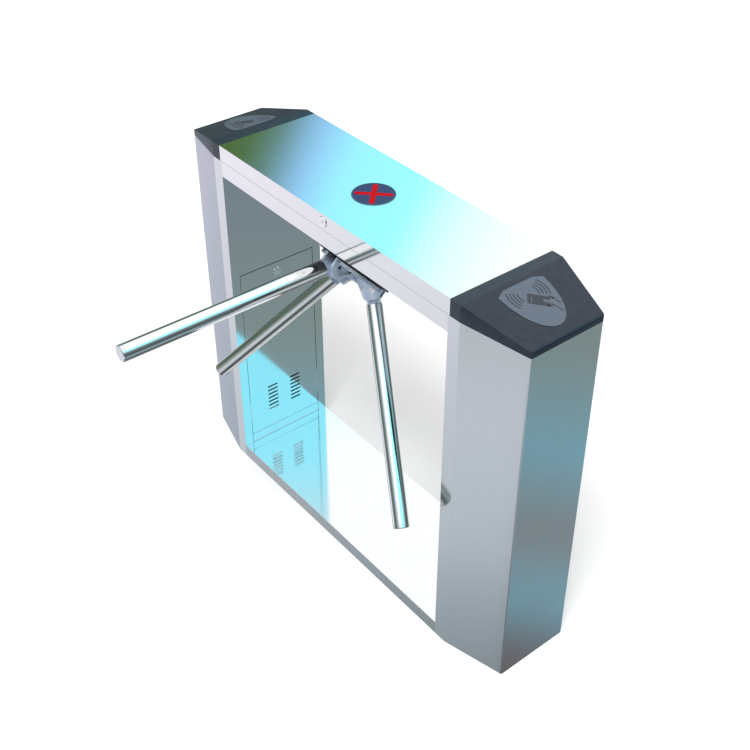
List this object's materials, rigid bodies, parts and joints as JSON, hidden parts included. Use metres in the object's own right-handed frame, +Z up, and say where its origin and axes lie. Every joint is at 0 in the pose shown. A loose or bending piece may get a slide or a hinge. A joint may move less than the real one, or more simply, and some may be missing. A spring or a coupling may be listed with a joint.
{
  "type": "turnstile",
  "caption": "Stainless bridge turnstile with hollow legs, hinged lid, access doors and a turning tripod of folding arms.",
  "frame": {"origin": "on the floor under the middle of the cabinet's footprint", "axes": "+X along the cabinet toward the near end, +Z up, -Y toward the passage that the arms stand over"},
  "size_m": [1.2, 0.7822, 0.9812],
  "materials": {
    "polished_steel": "polished stainless sheet",
    "brushed_steel": "vertical brushed grain",
    "panel_steel": "polished stainless sheet",
    "plain_steel": "plain mill finish",
    "cap_plastic": "satin, fine texture",
    "plaque_plastic": "satin print",
    "circuit_board": "solder resist",
    "housing_paint": "dark powder coat",
    "hub_plate_plastic": "satin black",
    "cast_aluminium": "satin cast",
    "bright_steel": "ground",
    "solenoid_paint": "lacquer",
    "indicator_ring": "gloss",
    "indicator_lens": "smoked, gloss",
    "indicator_light": "lit red",
    "lock_chrome": "mirror",
    "gear_brass": "machined",
    "arm_steel": "mirror polished tube",
    "root_steel": "turned",
    "tip_plastic": "satin light grey"
  },
  "bodies": {
    "root": {"base_rail": "polished_steel", "near_leg_shell": "brushed_steel", "far_leg_shell": "brushed_steel", "near_upper_panel": "panel_steel", "far_upper_panel": "panel_steel", "near_foot": "plain_steel", "far_foot": "plain_steel", "bridge_channel": "polished_steel", "near_reader_cap": "cap_plastic", "far_reader_cap": "cap_plastic", "near_card_plaque": "plaque_plastic", "far_card_plaque": "plaque_plastic", "reader_boards": "circuit_board", "mechanism_housing": "housing_paint", "hub_plate": "hub_plate_plastic", "bearing_block": "cast_aluminium", "front_bearing": "bright_steel", "rear_bearing": "bright_steel", "entry_solenoid": "solenoid_paint", "exit_solenoid": "solenoid_paint", "damper_body": "hub_plate_plastic", "sensor_board": "circuit_board", "power_supply": "housing_paint", "control_board": "circuit_board", "lid_hinge": "plain_steel", "block_bolts": "plain_steel"},
    "lid": {"top_cover": "polished_steel", "lid_leaf": "plain_steel", "indicator_bezel": "indicator_ring", "indicator_lens": "indicator_lens", "indicator_lights": "indicator_light", "lid_lock_barrel": "lock_chrome"},
    "lid_lock": {"lid_lock_plug": "lock_chrome"},
    "near_door": {"near_door": "panel_steel", "near_lock_barrel": "lock_chrome"},
    "near_door_lock": {"near_lock_plug": "lock_chrome"},
    "far_door": {"far_door": "panel_steel", "far_lock_barrel": "lock_chrome"},
    "far_door_lock": {"far_lock_plug": "lock_chrome"},
    "rotor": {"rotor_hub": "cast_aluminium", "main_shaft": "bright_steel", "index_wheel": "gear_brass", "drive_gear": "gear_brass", "sensor_disc": "bright_steel", "shaft_nut": "plain_steel", "pivot_pins": "bright_steel"},
    "level_arm": {"level_arm_tube": "arm_steel", "level_arm_root": "root_steel", "level_arm_tip": "tip_plastic"},
    "far_arm": {"far_arm_tube": "arm_steel", "far_arm_root": "root_steel", "far_arm_tip": "tip_plastic"},
    "near_arm": {"near_arm_tube": "arm_steel", "near_arm_root": "root_steel", "near_arm_tip": "tip_plastic"},
    "entry_pawl": {"entry_pawl": "bright_steel"},
    "exit_pawl": {"exit_pawl": "bright_steel"},
    "entry_plunger": {"entry_plunger": "bright_steel"},
    "exit_plunger": {"exit_plunger": "bright_steel"},
    "damper_pinion": {"damper_pinion": "gear_brass"}
  },
  "joints": [
    {"name": "lid_open", "type": "hinge", "parent": "root", "child": "lid", "pos_m": [0, 0.135, 0.975], "axis": [-1, 0, 0], "range_deg": [0, 80]},
    {"name": "lid_lock_turn", "type": "hinge", "parent": "lid", "child": "lid_lock", "pos_m": [0, -0.14, 0.961], "axis": [0, -1, 0], "range_deg": [0, 90]},
    {"name": "near_door_open", "type": "hinge", "parent": "root", "child": "near_door", "pos_m": [0.4155, 0.107, 0.3], "axis": [0, 0, -1], "range_deg": [0, 100]},
    {"name": "near_lock_turn", "type": "hinge", "parent": "near_door", "child": "near_door_lock", "pos_m": [0.4095, 0, 0.57], "axis": [-1, 0, 0], "range_deg": [0, 90]},
    {"name": "far_door_open", "type": "hinge", "parent": "root", "child": "far_door", "pos_m": [-0.4155, 0.107, 0.3], "axis": [0, 0, 1], "range_deg": [0, 100]},
    {"name": "far_lock_turn", "type": "hinge", "parent": "far_door", "child": "far_door_lock", "pos_m": [-0.4095, 0, 0.57], "axis": [-1, 0, 0], "range_deg": [0, 90]},
    {"name": "rotor_turn", "type": "hinge", "parent": "root", "child": "rotor", "pos_m": [-0.013, -0.05144, 0.79197], "axis": [0, -0.7373, -0.6756], "continuous": true},
    {"name": "level_arm_drop", "type": "hinge", "parent": "rotor", "child": "level_arm", "pos_m": [-0.013, -0.1042, 0.8325], "axis": [1, 0, 0], "range_deg": [0, 88]},
    {"name": "far_arm_drop", "type": "hinge", "parent": "rotor", "child": "far_arm", "pos_m": [-0.06975, -0.03779, 0.76003], "axis": [-0.5, -0.5851, 0.6385], "range_deg": [0, 40]},
    {"name": "near_arm_drop", "type": "hinge", "parent": "rotor", "child": "near_arm", "pos_m": [0.04375, -0.03779, 0.76003], "axis": [-0.5, 0.5851, -0.6385], "range_deg": [0, 40]},
    {"name": "entry_pawl_swing", "type": "hinge", "parent": "root", "child": "entry_pawl", "pos_m": [0.031, -0.02562, 0.86445], "axis": [0, 0.7373, 0.6756], "range_deg": [0, 10.5]},
    {"name": "exit_pawl_swing", "type": "hinge", "parent": "root", "child": "exit_pawl", "pos_m": [-0.057, -0.02562, 0.86445], "axis": [0, -0.7373, -0.6756], "range_deg": [0, 10.5]},
    {"name": "entry_plunger_slide", "type": "slide", "parent": "root", "child": "entry_plunger", "axis": [1, 0, 0], "range_m": [0, 0.00549]},
    {"name": "exit_plunger_slide", "type": "slide", "parent": "root", "child": "exit_plunger", "axis": [-1, 0, 0], "range_m": [0, 0.00549]},
    {"name": "damper_spin", "type": "hinge", "parent": "root", "child": "damper_pinion", "pos_m": [-0.013, 0.04538, 0.80472], "axis": [0, -0.7373, -0.6756], "continuous": true}
  ],
  "couplings": [
    {"joint": "entry_plunger_slide", "follows": "entry_pawl_swing", "m_per_rad": 0.029958},
    {"joint": "exit_plunger_slide", "follows": "exit_pawl_swing", "m_per_rad": 0.029958},
    {"joint": "damper_spin", "follows": "rotor_turn", "ratio": -3}
  ]
}
